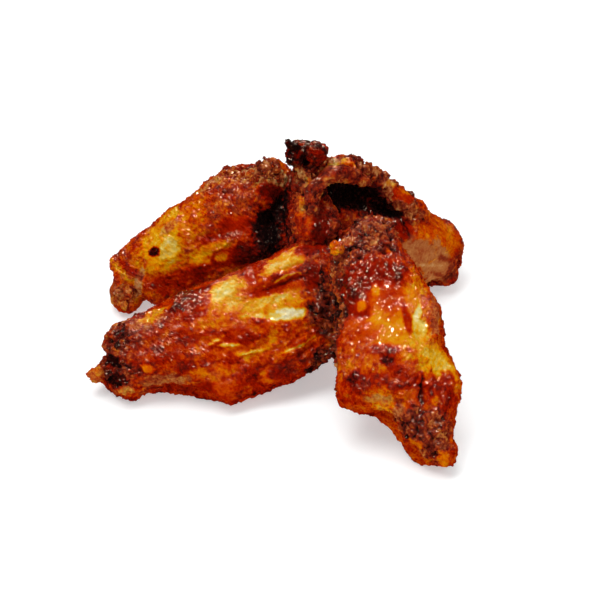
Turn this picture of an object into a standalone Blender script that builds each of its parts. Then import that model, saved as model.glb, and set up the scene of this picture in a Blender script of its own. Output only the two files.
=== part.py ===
"""A serving of glazed chicken wings: five wing flats that lean on one another in a small heap.

Run with: blender --background --python part.py
Sizes below are in millimetres. The meshes are in metres, +Z up, and the heap stands on z = 0.
"""
from dataclasses import dataclass

import bpy
import numpy as np

MM = 0.001  # metres in a millimetre

# Driving dimensions, in millimetres unless a comment says otherwise
HEAP_CENTRE = (3.4, -0.26)  # middle of the heap's outline, moved to the origin
CLEARANCE = 0.3  # gap kept where one wing rests on another
SECTIONS = 27  # cross sections along a wing, a count
SECTION_POINTS = 32  # points round a cross section, a count
SECTION_POWER = 2.4  # 2 is an ellipse, more is squarer
END_CROWDING = 0.65  # share of the sections that crowd towards the rounded ends


@dataclass(frozen=True)
class Lump:
    """A swelling of the surface, or a dent where its height is negative."""

    along: float  # place along the wing: 0 at its floor end, 1 at its raised end
    around: float  # degrees round the section: 0 upper edge, 90 broad face, 180 lower edge
    length: float  # reach along the wing
    width: float  # reach round the section
    height: float  # rise above the plain surface


@dataclass(frozen=True)
class Wing:
    """One wing flat: a spine from the floor up into the heap, with a section at each station."""

    node: str
    spine: tuple  # points from the floor end to the raised end
    facing: tuple  # directions in which the broad face looks, at even stations
    upper: tuple  # half breadth above the spine, at even stations
    lower: tuple  # half breadth below the spine
    depth: tuple  # half thickness
    floor_round: float  # share of the length in which the floor end closes
    raised_round: float  # share of the length in which the raised end closes
    lumps: tuple
    colour: tuple  # base colour, linear RGB
    roughness: float
    gives_way_to: tuple  # wings that press into this one


FRONT_LEFT = Wing(
    node="wing_front_left",
    spine=((-64.5, -15, 6.5), (-48, -13, 13), (-26, -10, 18), (-4, -5, 22), (15, 1, 27), (27, 6, 30)),
    facing=((-0.3, -0.8, 0.6), (0.0, -0.8, 0.6), (0.2, -0.75, 0.65)),
    upper=(4, 13, 18, 20, 21, 18),
    lower=(6, 14, 21.5, 22, 17, 15),
    depth=(5, 10, 12, 12, 11, 8),
    floor_round=0.10,
    raised_round=0.10,
    lumps=(
        Lump(along=0.15, around=10, length=6, width=7, height=2),
        Lump(along=0.13, around=172, length=6, width=8, height=2.5),
        Lump(along=0.44, around=162, length=7, width=9, height=3.5),
        Lump(along=0.30, around=150, length=9, width=7, height=-2),
        Lump(along=0.66, around=60, length=16, width=8, height=1.5),
        Lump(along=0.58, around=102, length=15, width=5, height=-1.5),
    ),
    colour=(0.42, 0.10, 0.02),
    roughness=0.32,
    gives_way_to=("wing_front_right",),
)
FRONT_RIGHT = Wing(
    node="wing_front_right",
    spine=((55, -56.5, 2), (50, -45, 15), (43, -32, 27), (38, -17, 38), (33, -3, 48), (28, 5, 54)),
    facing=((0.2, -0.75, 0.7), (0.0, -0.7, 0.7), (-0.1, -0.7, 0.7)),
    upper=(7, 14, 23, 19, 16, 13),
    lower=(6, 12, 15.5, 14.5, 11, 10),
    depth=(8, 10, 12, 12, 11, 9),
    floor_round=0.07,
    raised_round=0.10,
    lumps=(
        Lump(along=0.36, around=5, length=7, width=8, height=2.5),
        Lump(along=0.30, around=130, length=8, width=5, height=-2.5),
        Lump(along=0.93, around=70, length=7, width=7, height=2.5),
        Lump(along=0.84, around=120, length=7, width=6, height=-2),
    ),
    colour=(0.50, 0.16, 0.02),
    roughness=0.34,
    gives_way_to=(),
)
BACK_LEFT = Wing(
    node="wing_back_left",
    spine=((-59, 35, 7.5), (-46, 35.5, 17), (-26, 35.5, 30), (-8, 35, 42), (5, 33, 52)),
    facing=((-0.2, -0.8, 0.6), (-0.2, -0.8, 0.6)),
    upper=(8, 11, 15.5, 17, 13),
    lower=(8, 14, 19, 19, 15),
    depth=(7, 10, 12, 12, 10),
    floor_round=0.06,
    raised_round=0.10,
    lumps=(
        Lump(along=0.0, around=160, length=6, width=7, height=8),
        Lump(along=0.10, around=120, length=7, width=6, height=-2),
        Lump(along=0.96, around=25, length=6, width=6, height=2),
        Lump(along=0.80, around=45, length=5, width=6, height=-2),
        Lump(along=0.88, around=110, length=9, width=10, height=-5),
        Lump(along=0.50, around=70, length=16, width=9, height=1.5),
    ),
    colour=(0.45, 0.13, 0.02),
    roughness=0.34,
    gives_way_to=("wing_front_left", "wing_centre"),
)
BACK_RIGHT = Wing(
    node="wing_back_right",
    spine=((65, 51, 5.5), (56, 46, 16.5), (44, 39, 32), (29, 34, 48), (15, 30, 58.5)),
    facing=((0.2, -0.8, 0.6), (0.1, -0.8, 0.6)),
    upper=(11.5, 15, 16, 15, 11),
    lower=(11, 11, 11, 12.5, 11),
    depth=(9, 10, 11, 11, 10),
    floor_round=0.06,
    raised_round=0.10,
    lumps=(
        Lump(along=0.74, around=92, length=13, width=8, height=-8),
        Lump(along=0.47, around=125, length=8, width=5, height=-3),
        Lump(along=0.93, around=150, length=7, width=6, height=2),
    ),
    colour=(0.26, 0.07, 0.025),
    roughness=0.40,
    gives_way_to=("wing_front_right", "wing_centre"),
)
CENTRE = Wing(
    node="wing_centre",
    spine=((8, 24, -1.5), (9, 25, 28), (10, 26, 47), (10, 27, 61.5), (10, 28, 75)),
    facing=((-1.0, -0.3, 0.2), (-1.0, -0.3, 0.2)),
    upper=(10, 14, 14, 8, 7),
    lower=(10, 14, 14, 7, 7),
    depth=(7, 8, 7, 5, 6.6),
    floor_round=0.14,
    raised_round=0.10,
    lumps=(
        Lump(along=0.50, around=178, length=8, width=8, height=3),
        Lump(along=0.95, around=110, length=5, width=5, height=2),
        Lump(along=0.96, around=250, length=5, width=5, height=2.5),
        Lump(along=0.92, around=185, length=4, width=4, height=-3),
    ),
    colour=(0.20, 0.05, 0.02),
    roughness=0.42,
    gives_way_to=("wing_front_left", "wing_front_right"),
)
SERVING = (FRONT_LEFT, FRONT_RIGHT, BACK_LEFT, BACK_RIGHT, CENTRE)


def unit(vectors):
    """Vectors scaled to length one."""
    return vectors / np.maximum(np.linalg.norm(vectors, axis=-1, keepdims=True), 1e-9)


def smooth_curve(points, along):
    """A Catmull-Rom curve through the points, read at places from 0 to 1."""
    knots = np.asarray(points, float).reshape(len(points), -1)
    ends = np.vstack([2 * knots[0] - knots[1], knots, 2 * knots[-1] - knots[-2]])
    place = np.clip(along, 0, 1) * (len(knots) - 1)
    span = np.minimum(place.astype(int), len(knots) - 2)
    rest = (place - span)[:, None]
    before, start, stop, after = (ends[span + step] for step in range(4))
    return start + 0.5 * rest * (
        stop - before
        + rest * (2 * before - 5 * start + 4 * stop - after)
        + rest**2 * (3 * start - before - 3 * stop + after)
    )


def rounding(along, share):
    """A quarter ellipse that rises from 0 at the end of the wing to 1 after the share."""
    return np.sqrt(1 - (1 - np.clip(along / share, 0, 1)) ** 2)


def superellipse(angles):
    """Sideways and outward reach of a squarish round section of half size one."""
    power = 2 / SECTION_POWER
    across, out = np.cos(angles), np.sin(angles)
    return np.sign(across) * np.abs(across) ** power, np.sign(out) * np.abs(out) ** power


def outward_normals(grid):
    """Unit normals of a grid of sections, pointing out of the wing."""
    lengthwise = np.gradient(grid, axis=0)
    crosswise = np.roll(grid, -1, axis=1) - np.roll(grid, 1, axis=1)
    normals = unit(np.cross(lengthwise, crosswise))
    middle = grid.mean(axis=1, keepdims=True)
    outside = np.sign(((grid - middle) * normals).sum(axis=-1).mean())
    return normals * outside


def add_lumps(grid, along, wing):
    """Each lump raises the surface along its normals by a bell curve of the distance to it."""
    normals = outward_normals(grid)
    steps = np.linalg.norm(np.roll(grid, -1, axis=1) - grid, axis=2)
    around = np.cumsum(steps, axis=1) - steps
    girth = steps.sum(axis=1, keepdims=True)
    length = np.linalg.norm(np.diff(grid.mean(axis=1), axis=0), axis=1).sum()
    rise = np.zeros(grid.shape[:2])
    for lump in wing.lumps:
        column = int(lump.around / 360 * grid.shape[1])
        sideways = around - around[:, column:column + 1]
        sideways -= girth * np.round(sideways / np.maximum(girth, 1e-9))
        lengthways = (along - lump.along)[:, None] * length
        rise += lump.height * np.exp(-(lengthways / lump.length) ** 2 - (sideways / lump.width) ** 2)
    return grid + normals * rise[..., None]


def wing_sections(wing):
    """The wing's surface as a grid of sections, in millimetres, with its lumps."""
    even = (np.arange(SECTIONS) + 0.5) / SECTIONS
    along = (1 - END_CROWDING) * even + END_CROWDING * (0.5 - 0.5 * np.cos(np.pi * even))
    angles = np.arange(SECTION_POINTS) * 2 * np.pi / SECTION_POINTS
    spine = smooth_curve(wing.spine, along)
    step = 1e-3
    forward = unit(smooth_curve(wing.spine, along + step) - smooth_curve(wing.spine, along - step))
    sideways = unit(np.cross(unit(smooth_curve(wing.facing, along)), forward))
    outward = np.cross(forward, sideways)
    closing = rounding(along, wing.floor_round) * rounding(1 - along, wing.raised_round)
    across, out = superellipse(angles)
    upper, lower, depth = (
        smooth_curve(sizes, along) * closing[:, None] for sizes in (wing.upper, wing.lower, wing.depth)
    )
    breadth = np.where(across > 0, upper, lower) * across
    grid = (
        spine[:, None]
        + sideways[:, None] * breadth[..., None]
        + outward[:, None] * (depth * out)[..., None]
    )
    return add_lumps(grid, along, wing)


def closed_surface(grid, ends):
    """Vertices and triangles of a grid of sections, closed by a fan at each end."""
    rows, columns = grid.shape[:2]
    index = np.arange(rows * columns).reshape(rows, columns)
    beside = np.roll(index, -1, axis=1)
    corner, right, above, opposite = index[:-1], beside[:-1], index[1:], beside[1:]
    first, last = rows * columns, rows * columns + 1
    triangles = [
        np.stack([corner, right, opposite], axis=-1).reshape(-1, 3),
        np.stack([corner, opposite, above], axis=-1).reshape(-1, 3),
        np.stack([np.full(columns, first), beside[0], index[0]], axis=-1),
        np.stack([np.full(columns, last), index[-1], beside[-1]], axis=-1),
    ]
    return np.vstack([grid.reshape(-1, 3), ends]), np.vstack(triangles)


def wing_surface(wing, swell=0.0):
    """The closed wing in millimetres, swollen outwards, flat where it meets the floor."""
    grid = wing_sections(wing)
    ends = smooth_curve(wing.spine, np.array([0.0, 1.0]))
    if swell:
        grid = grid + swell * outward_normals(grid)
        ends = ends + swell * unit(ends - ends[::-1])
    points, triangles = closed_surface(grid, ends)
    points[:, :2] -= HEAP_CENTRE
    if not swell:
        points[:, 2] = np.maximum(points[:, 2], 0.0)
    return points * MM, triangles


def add_object(name, surface):
    """A mesh object in the scene's collection, shaded smooth, with its faces pointing out."""
    points, triangles = surface
    mesh = bpy.data.meshes.new(name)
    mesh.from_pydata(points.tolist(), [], triangles.tolist())
    mesh.validate()
    mesh.shade_smooth()
    made = bpy.data.objects.new(name, mesh)
    bpy.context.scene.collection.objects.link(made)
    return made


def glaze(wing):
    """The wing's own baked glaze."""
    material = bpy.data.materials.new(wing.node + "_glaze")
    material.use_nodes = True
    shader = material.node_tree.nodes["Principled BSDF"]
    shader.inputs["Base Color"].default_value = (*wing.colour, 1.0)
    shader.inputs["Roughness"].default_value = wing.roughness
    shader.inputs["Metallic"].default_value = 0.0
    return material


def add_cutter(wing):
    """The space that a wing and its clearance take, hidden from the finished model."""
    cutter = add_object("clearance_" + wing.node, wing_surface(wing, swell=CLEARANCE))
    cutter.hide_render = True
    cutter.display_type = "WIRE"
    return cutter


def press_in(target, cutter):
    """The cutter presses its shape into the target."""
    press = target.modifiers.new(cutter.name, "BOOLEAN")
    press.operation = "DIFFERENCE"
    press.solver = "EXACT"
    press.object = cutter


def build():
    """Build the five wings and let the ones above press into the ones below."""
    for old in list(bpy.data.objects):
        bpy.data.objects.remove(old)
    pressing = {node for wing in SERVING for node in wing.gives_way_to}
    cutters = {wing.node: add_cutter(wing) for wing in SERVING if wing.node in pressing}
    for wing in SERVING:
        made = add_object(wing.node, wing_surface(wing))
        made.data.materials.append(glaze(wing))
        for neighbour in wing.gives_way_to:
            press_in(made, cutters[neighbour])


build()
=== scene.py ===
"""Looks of a heap of glazed chicken wings: five baked wing flats that lean on one another.

Each wing is a surface worked out with numpy. Its plain form is a section carried along a spine, and
its skin is relief on that form: swellings, folds, wrinkles, crust and blisters. How far each spot of
skin has browned is worked out with the form and kept on the mesh, where the glaze material reads it.
That browning also holds painted shade: near black, with dark glaze, in some hollows and clefts, and
darker in the hollows of the relief; and painted highlights as pale lines along a few ridges.

Sizes are in millimetres unless a comment says otherwise, and +Z is up.
"""
import functools
import itertools
import logging
import math
from dataclasses import dataclass, field
from enum import Enum

import bpy
import numpy as np
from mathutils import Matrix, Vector


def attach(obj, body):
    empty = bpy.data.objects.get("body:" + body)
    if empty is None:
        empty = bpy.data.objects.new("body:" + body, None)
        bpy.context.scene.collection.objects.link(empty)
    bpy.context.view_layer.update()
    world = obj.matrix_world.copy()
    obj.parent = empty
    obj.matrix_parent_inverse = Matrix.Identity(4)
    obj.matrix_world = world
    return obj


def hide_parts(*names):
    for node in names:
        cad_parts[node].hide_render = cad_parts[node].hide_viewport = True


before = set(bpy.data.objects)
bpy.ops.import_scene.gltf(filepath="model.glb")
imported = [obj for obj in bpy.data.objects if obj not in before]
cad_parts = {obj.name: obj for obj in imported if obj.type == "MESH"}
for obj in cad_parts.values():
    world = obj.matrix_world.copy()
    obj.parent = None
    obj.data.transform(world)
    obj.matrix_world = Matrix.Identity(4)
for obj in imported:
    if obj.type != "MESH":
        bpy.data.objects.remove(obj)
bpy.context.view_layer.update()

log = logging.getLogger("chicken_wings")

MM = 0.001  # metres in a millimetre
HEAP_CENTRE = np.array([3.4, -0.26, 0.0])  # middle of the heap in the wings' own drawing frame
SECTION_POWER = 2.4  # 2 is an ellipse, more is squarer
END_CROWDING = 0.5  # share of the sections that crowd towards the rounded ends
COARSE_RAG = 0.32  # how ragged a patch's edge is in large, as a share of its half size
FINE_RAG = 0.22  # and in small
FURTHER = 9.0  # farther than any crumb's seed point, in cells


class Zone(Enum):
    """What a patch of skin sets, each kept as a number at every point of a wing."""

    TONE = "tone"  # browning: 0 white fat, 0.4 amber, 0.7 deep red, 1 black; it also holds painted shade in hollows and painted highlights along a few ridges
    CRUST = "crust"  # 0 smooth skin, 1 rough fried crust
    SILK = "silk"  # 0 skin with its relief, 1 skin stretched smooth
    PLEAT = "pleat"  # 0 plain, 1 gathered in fine pleats along the wing
    DRY = "dry"  # 0 moist glaze, 1 pale brown cooked meat or dry skin; also matte where hollows are painted black as shade


# ---------------------------------------------------------------- noise


def scramble(cells: np.ndarray, seed: int) -> np.ndarray:
    """Mix whole-number cell addresses into even random numbers.

    The three coordinates are multiplied by large odd numbers, combined by exclusive or, and folded
    onto themselves, so that neighbouring cells get unrelated numbers and each run gets the same.

    Args:
        cells: Whole numbers of shape (..., 3).
        seed: Which of many unrelated patterns to give.

    Returns:
        Numbers from 0 to 1 of shape (..., 3).
    """
    x, y, z = (cells[..., axis].astype(np.uint32) for axis in range(3))
    start = np.uint32((seed * 0x9E3779B1) & 0xFFFFFFFF)
    mixed = x * np.uint32(0x8DA6B343) ^ y * np.uint32(0xD8163841) ^ z * np.uint32(0xCB1AB31F) ^ start
    channels = []
    for fold in (0x2C1B3C6D, 0x297A2D39, 0x85EBCA6B):
        mixed = (mixed ^ (mixed >> np.uint32(15))) * np.uint32(fold)
        mixed = mixed ^ (mixed >> np.uint32(13))
        channels.append(mixed.astype(np.float64) / 0xFFFFFFFF)
    return np.stack(channels, axis=-1)


@dataclass(frozen=True)
class Grain:
    """Smooth random unevenness of a given size, in space."""

    size: float
    seed: int
    octaves: int = 1

    def at(self, places: np.ndarray) -> np.ndarray:
        """Sum of octaves of gradient noise, each half as large and half as strong as the last.

        In each cell of a cubic lattice every corner has a random slope. The noise is the height that
        the eight slopes give at the place, mixed by a smooth fade between the corners.

        Args:
            places: Points of shape (..., 3), in millimetres.

        Returns:
            Heights from about -1 to 1.
        """
        total = np.zeros(places.shape[:-1])
        for octave in range(self.octaves):
            scaled = places * (2**octave / self.size) + 17.3 * octave
            total += self._single(scaled, self.seed + 31 * octave) / 2**octave
        return total

    @staticmethod
    def _single(places: np.ndarray, seed: int) -> np.ndarray:
        """One octave of gradient noise, as at describes it."""
        cell = np.floor(places)
        part = places - cell
        cell = cell.astype(np.int64)
        fade = part**3 * (part * (part * 6 - 15) + 10)
        total = np.zeros(places.shape[:-1])
        for corner in itertools.product((0, 1), repeat=3):
            step = np.array(corner)
            slope = scramble(cell + step, seed) * 2 - 1
            share = np.where(step == 1, fade, 1 - fade).prod(axis=-1)
            total += share * ((part - step) * slope).sum(axis=-1)
        return total * 1.7


@dataclass(frozen=True)
class Crumbs:
    """Space filled with crumbs: one random seed point a cell."""

    size: float
    seed: int

    def at(self, places: np.ndarray) -> tuple[np.ndarray, np.ndarray]:
        """A round dome over each crumb, and a random number that the whole crumb shares.

        The nearest seed point among the place's own cell and the cells round it is the crumb's
        middle. The dome falls as the square of the distance from it, to 0 where crumbs meet.

        Args:
            places: Points of shape (..., 3), in millimetres.

        Returns:
            The domes and the crumbs' own numbers, both from 0 to 1.
        """
        scaled = places / self.size
        cell = np.floor(scaled).astype(np.int64)
        nearest = np.full(places.shape[:-1], FURTHER)
        own = np.zeros(places.shape[:-1])
        for corner in itertools.product((-1, 0, 1), repeat=3):
            seeds = scramble(cell + np.array(corner), self.seed)
            gap = np.linalg.norm(scaled - cell - np.array(corner) - seeds, axis=-1)
            own = np.where(gap < nearest, seeds[..., 0] * 7 % 1, own)
            nearest = np.minimum(nearest, gap)
        return np.clip(1 - (nearest / 0.8) ** 2, 0, 1), own


# ---------------------------------------------------------------- form


def unit(vectors: np.ndarray) -> np.ndarray:
    """Vectors scaled to length one."""
    return vectors / np.maximum(np.linalg.norm(vectors, axis=-1, keepdims=True), 1e-9)


def smooth_step(value: np.ndarray, low: float, high: float) -> np.ndarray:
    """A smooth rise from 0 at low to 1 at high."""
    share = np.clip((value - low) / (high - low), 0, 1)
    return share * share * (3 - 2 * share)


def smooth_curve(points: tuple, along: np.ndarray) -> np.ndarray:
    """Read a Catmull-Rom curve through the points, where each stretch leaves a point in the
    direction from the point before it to the point after it.

    Args:
        points: Two or more points or sizes, evenly spread from 0 to 1.
        along: Places from 0 to 1.

    Returns:
        One row for each place.
    """
    knots = np.asarray(points, float).reshape(len(points), -1)
    ends = np.vstack([2 * knots[0] - knots[1], knots, 2 * knots[-1] - knots[-2]])
    place = np.clip(along, 0, 1) * (len(knots) - 1)
    span = np.minimum(place.astype(int), len(knots) - 2)
    rest = (place - span)[:, None]
    before, start, stop, after = (ends[span + step] for step in range(4))
    return start + 0.5 * rest * (
        stop - before
        + rest * (2 * before - 5 * start + 4 * stop - after)
        + rest**2 * (3 * start - before - 3 * stop + after)
    )


def outward_normals(grid: np.ndarray) -> np.ndarray:
    """Unit normals of a grid of closed sections, pointing out of the form."""
    lengthwise = np.gradient(grid, axis=0)
    crosswise = np.roll(grid, -1, axis=1) - np.roll(grid, 1, axis=1)
    normals = unit(np.cross(lengthwise, crosswise))
    middle = grid.mean(axis=1, keepdims=True)
    return normals * np.sign(((grid - middle) * normals).sum(axis=-1).mean())


def closed_mesh(name: str, grids: np.ndarray, numbers: dict[str, np.ndarray]) -> bpy.types.Object:
    """Make a mesh object of bodies, each a grid of sections closed by a fan of triangles at each end.

    Args:
        name: The piece's name.
        grids: Points of shape (bodies, sections, points, 3), in millimetres.
        numbers: Fields of shape (bodies, sections, points) to keep on the mesh's points.

    Returns:
        The object, smooth, at the origin, with faces that point out.
    """
    bodies, rows, columns = grids.shape[:3]
    index = np.arange(bodies * rows * columns).reshape(bodies, rows, columns)
    beside = np.roll(index, -1, axis=2)
    first = np.repeat(index.size + np.arange(bodies)[:, None], columns, axis=1)
    last = first + bodies
    triangles = np.vstack([
        np.stack([index[:, :-1], beside[:, :-1], beside[:, 1:]], axis=-1).reshape(-1, 3),
        np.stack([index[:, :-1], beside[:, 1:], index[:, 1:]], axis=-1).reshape(-1, 3),
        np.stack([first, beside[:, 0], index[:, 0]], axis=-1).reshape(-1, 3),
        np.stack([last, index[:, -1], beside[:, -1]], axis=-1).reshape(-1, 3),
    ])
    points = np.vstack([grids.reshape(-1, 3), grids[:, 0].mean(axis=1), grids[:, -1].mean(axis=1)])
    mesh = bpy.data.meshes.new(name)
    mesh.vertices.add(len(points))
    mesh.vertices.foreach_set("co", (points * MM).astype(np.float32).ravel())
    mesh.loops.add(triangles.size)
    mesh.loops.foreach_set("vertex_index", triangles.astype(np.int32).ravel())
    mesh.polygons.add(len(triangles))
    mesh.polygons.foreach_set("loop_start", np.arange(0, triangles.size, 3, dtype=np.int32))
    mesh.update(calc_edges=True)
    mesh.validate()
    mesh.shade_smooth()
    for key, values in numbers.items():
        layer = mesh.attributes.new(key, "FLOAT", "POINT")
        whole = np.concatenate([values.ravel(), values[:, 0].mean(axis=1), values[:, -1].mean(axis=1)])
        layer.data.foreach_set("value", whole.astype(np.float32))
    made = bpy.data.objects.new(name, mesh)
    bpy.context.scene.collection.objects.link(made)
    return made


@dataclass(frozen=True)
class Place:
    """An ellipse on a wing's skin."""

    along: float  # 0 at the wing's floor end, 1 at its raised end
    around: float  # degrees round the section: 0 upper edge, 90 broad face, 180 lower edge
    length: float  # half size lengthwise
    width: float  # half size crosswise


@dataclass(frozen=True)
class Lump(Place):
    """A swelling, a dent where its height is negative, or a fold where one side is steep."""

    height: float
    turn: float = 0.0  # degrees from lengthwise towards crosswise
    steep: float = 1.0  # how much narrower the far side is than the near one


def swellings(*rows: tuple[float, ...]) -> tuple[Lump, ...]:
    """Lumps from rows of along, around, length, width, height and, if any, turn and steep."""
    return tuple(Lump(*row) for row in rows)


@dataclass(frozen=True)
class Patch(Place):
    """A patch of skin that sets zones to given shares. A zone that is None keeps what it had."""

    turn: float = 0.0  # degrees from lengthwise towards crosswise
    tone: float | None = None
    crust: float | None = 0.0
    silk: float | None = None
    pleat: float | None = None
    dry: float | None = None
    soft: float = 0.35  # how far the edge fades, as a share of the half size


@dataclass(frozen=True)
class Relief:
    """Heights of what makes the skin uneven, in millimetres."""

    broad: float = 0.7
    middling: float = 0.45
    crinkle: float = 0.22
    streak: float = 0.16
    wrinkle: float = 0.65
    fold: float = 0.10  # pleats where the skin is not gathered
    pleat: float = 0.6
    scab: float = 0.30
    blister: float = 0.16
    freckle: float = 0.14
    clump: float = 1.15
    crumb: float = 0.5
    ridge: float = 0.7
    granule: float = 0.22
    crust_depth: float = 1.05  # how far the crust's hollows lie under the skin
    overhang: float = 0.8  # how far crust is pushed sideways


@dataclass(frozen=True)
class BrowningAndPaintedShade:
    """How much darker, or paler where negative, each kind of relief leaves the skin. For clumps, crumbs,
    granules, ridges, wrinkles and pleats this darkens the hollows and lightens the crests, partly glaze
    pooled in the hollows and partly painted shade; the three shades of crumbs are a random tone for each
    crumb.
    """

    broad: float = 0.06
    middling: float = 0.07
    streak: float = 0.09
    wrinkle: float = -0.07
    pleat: float = -0.06
    scab: float = 0.08
    blister: float = 0.10
    freckle: float = 0.10
    clump: float = 0.16
    crumb: float = 0.16
    granule: float = 0.12
    ridge: float = -0.14
    clump_shade: float = 0.20
    crumb_shade: float = 0.30
    granule_shade: float = 0.20


HEIGHT = Relief()
SHADE = BrowningAndPaintedShade()


@dataclass
class Morsel:
    """One wing or a smaller part of one, from the spine it is drawn along to its finished skin."""

    node: str | None  # the plain part that it stands for, if any
    piece: str
    slot: str
    spine: tuple
    facing: tuple
    upper: tuple
    lower: tuple
    depth: tuple
    floor_round: float
    raised_round: float
    lumps: tuple[Lump, ...]
    patches: tuple[Patch, ...]
    seed: int
    base_tone: float = 0.66
    base_crust: float = 0.15
    relief: float = 1.0  # strength of the broad unevenness and the crust
    sections: int = 320
    points: int = 280
    along: np.ndarray = field(init=False)
    grid: np.ndarray = field(init=False)
    normals: np.ndarray = field(init=False)
    arc: np.ndarray = field(init=False)  # way round each section up to each point
    girth: np.ndarray = field(init=False)  # whole way round each section
    length: float = field(init=False)
    zones: dict[Zone, np.ndarray] = field(init=False, default_factory=dict)

    def draw(self) -> None:
        """Carry the section along the spine.

        At each station the section is a superellipse: half breadth times a power of the cosine
        sideways, half thickness times the same power of the sine outwards. Its sizes shrink as a
        quarter ellipse towards both ends.
        """
        even = (np.arange(self.sections) + 0.5) / self.sections
        self.along = (1 - END_CROWDING) * even + END_CROWDING * (0.5 - 0.5 * np.cos(np.pi * even))
        angles = np.arange(self.points) * 2 * np.pi / self.points
        spine = smooth_curve(self.spine, self.along)
        ahead, behind = (smooth_curve(self.spine, self.along + step) for step in (1e-3, -1e-3))
        forward = unit(ahead - behind)
        sideways = unit(np.cross(unit(smooth_curve(self.facing, self.along)), forward))
        outward = np.cross(forward, sideways)
        closing = np.sqrt(1 - (1 - np.clip(self.along / self.floor_round, 0, 1)) ** 2)
        closing = closing * np.sqrt(1 - (1 - np.clip((1 - self.along) / self.raised_round, 0, 1)) ** 2)
        power = 2 / SECTION_POWER
        across = np.sign(np.cos(angles)) * np.abs(np.cos(angles)) ** power
        out = np.sign(np.sin(angles)) * np.abs(np.sin(angles)) ** power
        upper, lower, depth = (
            smooth_curve(sizes, self.along) * closing[:, None]
            for sizes in (self.upper, self.lower, self.depth)
        )
        breadth = np.where(across > 0, upper, lower) * across
        self.grid = spine[:, None] + sideways[:, None] * breadth[..., None]
        self.grid += outward[:, None] * (depth * out)[..., None]
        self._measure()

    def _measure(self) -> None:
        """Measure the drawn grid: its normals, the way round each section, and its length."""
        self.normals = outward_normals(self.grid)
        steps = np.linalg.norm(np.roll(self.grid, -1, axis=1) - self.grid, axis=2)
        self.arc = np.cumsum(steps, axis=1) - steps
        self.girth = steps.sum(axis=1, keepdims=True)
        self.length = np.linalg.norm(np.diff(self.grid.mean(axis=1), axis=0), axis=1).sum()

    def offsets(self, place: Lump | Patch) -> tuple[np.ndarray, np.ndarray]:
        """How far each point lies from a place, in half sizes lengthwise and crosswise.

        Args:
            place: The ellipse.

        Returns:
            Both distances, signed, turned with the ellipse.
        """
        column = int(place.around / 360 * self.points) % self.points
        crosswise = self.arc - self.arc[:, column:column + 1]
        crosswise = crosswise - self.girth * np.round(crosswise / np.maximum(self.girth, 1e-9))
        lengthwise = (self.along - place.along)[:, None] * self.length
        turn = math.radians(place.turn)
        first = lengthwise * math.cos(turn) + crosswise * math.sin(turn)
        other = crosswise * math.cos(turn) - lengthwise * math.sin(turn)
        return first / place.length, other / place.width

    def swell(self) -> None:
        """Raise each lump along the normals by a bell curve of the distance from its middle."""
        rise = np.zeros(self.grid.shape[:2])
        for lump in self.lumps:
            lengthwise, crosswise = self.offsets(lump)
            crosswise = np.where(crosswise > 0, crosswise * lump.steep, crosswise)
            rise += lump.height * np.exp(-(lengthwise**2) - crosswise**2)
        self.grid = self.grid + self.normals * rise[..., None]
        self._measure()

    def paint(self) -> None:
        """Lay the patches over the base, each inside an ellipse with a ragged, faded edge."""
        shape = self.grid.shape[:2]
        self.zones = {zone: np.zeros(shape) for zone in Zone}
        self.zones[Zone.TONE] += self.base_tone
        self.zones[Zone.CRUST] += self.base_crust
        ragged = COARSE_RAG * Grain(5.0, self.seed, 3).at(self.grid)
        ragged += FINE_RAG * Grain(1.7, self.seed + 7, 2).at(self.grid)
        for item in self.patches:
            lengthwise, crosswise = self.offsets(item)
            reach = np.hypot(lengthwise, crosswise) + ragged
            share = 1 - smooth_step(reach, 1 - item.soft, 1 + item.soft)
            for zone in Zone:
                value = getattr(item, zone.value)
                if value is not None:
                    self.zones[zone] += (value - self.zones[zone]) * share

    def roughen(self) -> None:
        """Give the skin its relief, each kind by its zone, and let the relief brown the skin and paint
        shade on it.

        The relief is a sum of heights along the normals: broad unevenness, winding wrinkles, pleats
        and streaks, which are noise stretched along the wing, scabs of burnt glaze, freckles,
        blisters, and crust, which is domes of crumbs in three sizes. Crust is also pushed about
        sideways, so its crumbs overhang. The browning that follows the relief is darker in the hollows
        between crumbs and paler on the crests of ridges, wrinkles and pleats: partly glaze pooled in
        the hollows, partly painted shade.
        """
        seed, grid = self.seed, self.grid
        crust, silk, pleat = (self.zones[zone] for zone in (Zone.CRUST, Zone.SILK, Zone.PLEAT))
        plain = 1 - 0.85 * silk
        rough = smooth_step(crust, 0.1, 0.95)
        skin = plain * (1 - rough)
        drift = np.stack([Grain(3.0, seed + 5 + axis, 2).at(grid) for axis in range(3)], axis=-1)
        moved = grid + 1.1 * drift
        broad = Grain(11.0, seed + 1, 2).at(grid)
        middling = Grain(4.5, seed + 2, 3).at(grid)
        ridges = 1 - 2 * np.abs(Grain(2.8, seed + 14, 3).at(moved))
        crinkle = 1 - 2 * np.abs(Grain(1.9, seed + 15, 2).at(grid))
        wrinkles = (1 - 2 * np.abs(Grain(3.6, seed + 3, 2).at(moved))).clip(0, 1) ** 3
        pleats = 1 - 2 * np.abs(Grain(1.0, seed + 4, 2).at(self._flow(2.0, 9.0)))
        streaks = Grain(1.0, seed + 16, 2).at(self._flow(1.7, 9.0))
        clumps, clump_shade = Crumbs(4.6, seed + 8).at(moved)
        crumbs, crumb_shade = Crumbs(2.1, seed + 9).at(moved)
        granules, granule_shade = Crumbs(1.05, seed + 10).at(moved)
        scabs = smooth_step(Grain(3.4, seed + 11, 3).at(grid + 0.6 * drift), 0.10, 0.34)
        freckles = smooth_step(Grain(1.7, seed + 12, 2).at(grid), 0.28, 0.5)
        blistered = smooth_step(Grain(16.0, seed + 13).at(grid), -0.25, 0.3)
        fried = (
            HEIGHT.clump * clumps + HEIGHT.crumb * crumbs + HEIGHT.ridge * ridges
            + HEIGHT.granule * granules - HEIGHT.crust_depth
        )
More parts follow.
